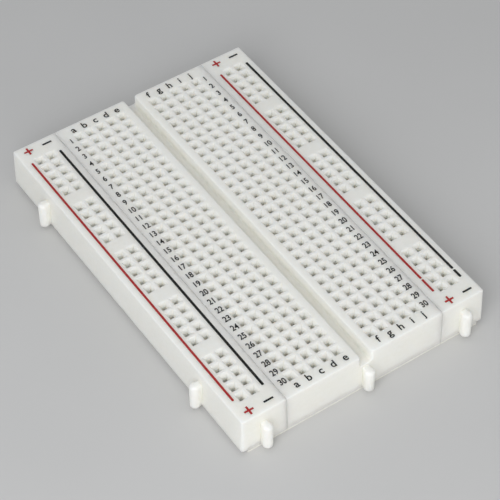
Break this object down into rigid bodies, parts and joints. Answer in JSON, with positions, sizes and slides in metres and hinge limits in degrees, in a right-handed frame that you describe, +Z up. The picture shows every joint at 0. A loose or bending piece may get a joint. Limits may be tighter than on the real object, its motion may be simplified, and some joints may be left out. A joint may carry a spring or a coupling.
{
  "type": "solderless breadboard",
  "caption": "Solderless breadboard: terminal block with a centre ravine between two power rails that lift off keyed lugs, spring clips inside, foam tape and liner below.",
  "frame": {"origin": "on the bench face, under the middle of the terminal grid", "axes": "+Z up out of the tie-point face, +Y along the rows' numbering towards row 1, +X across the columns from a to j"},
  "size_m": [0.0567, 0.084, 0.0091],
  "materials": {
    "housing_plastic": "moulded ABS, off-white, faintly translucent, fine satin",
    "spring_clip": "nickel-plated phosphor bronze strip, bright, bent and sheared",
    "foam_tape": "white closed-cell foam, adhesive on both faces",
    "liner_paper": "waxed release paper, ivory, slightly glossy"
  },
  "bodies": {
    "right_rail": {"right_rail_housing": "housing_plastic", "right_rail_positive_bus_clip": "spring_clip", "right_rail_negative_bus_clip": "spring_clip", "right_rail_foam_pad": "foam_tape", "release_liner": "liner_paper"},
    "terminal_block": {"terminal_block_housing": "housing_plastic", "terminal_block_foam_pad": "foam_tape", "row_01_clips": "spring_clip", "row_02_clips": "spring_clip", "row_03_clips": "spring_clip", "row_04_clips": "spring_clip", "row_05_clips": "spring_clip", "row_06_clips": "spring_clip", "row_07_clips": "spring_clip", "row_08_clips": "spring_clip", "row_09_clips": "spring_clip", "row_10_clips": "spring_clip", "row_11_clips": "spring_clip", "row_12_clips": "spring_clip", "row_13_clips": "spring_clip", "row_14_clips": "spring_clip", "row_15_clips": "spring_clip", "row_16_clips": "spring_clip", "row_17_clips": "spring_clip", "row_18_clips": "spring_clip", "row_19_clips": "spring_clip", "row_20_clips": "spring_clip", "row_21_clips": "spring_clip", "row_22_clips": "spring_clip", "row_23_clips": "spring_clip", "row_24_clips": "spring_clip", "row_25_clips": "spring_clip", "row_26_clips": "spring_clip", "row_27_clips": "spring_clip", "row_28_clips": "spring_clip", "row_29_clips": "spring_clip", "row_30_clips": "spring_clip"},
    "left_rail": {"left_rail_housing": "housing_plastic", "left_rail_positive_bus_clip": "spring_clip", "left_rail_negative_bus_clip": "spring_clip", "left_rail_foam_pad": "foam_tape"}
  },
  "joints": [
    {"name": "terminal_block_lift", "type": "slide", "parent": "right_rail", "child": "terminal_block", "axis": [0, 0, 1], "range_m": [0, 0.012]},
    {"name": "left_rail_lift", "type": "slide", "parent": "terminal_block", "child": "left_rail", "axis": [0, 0, 1], "range_m": [0, 0.012]}
  ]
}
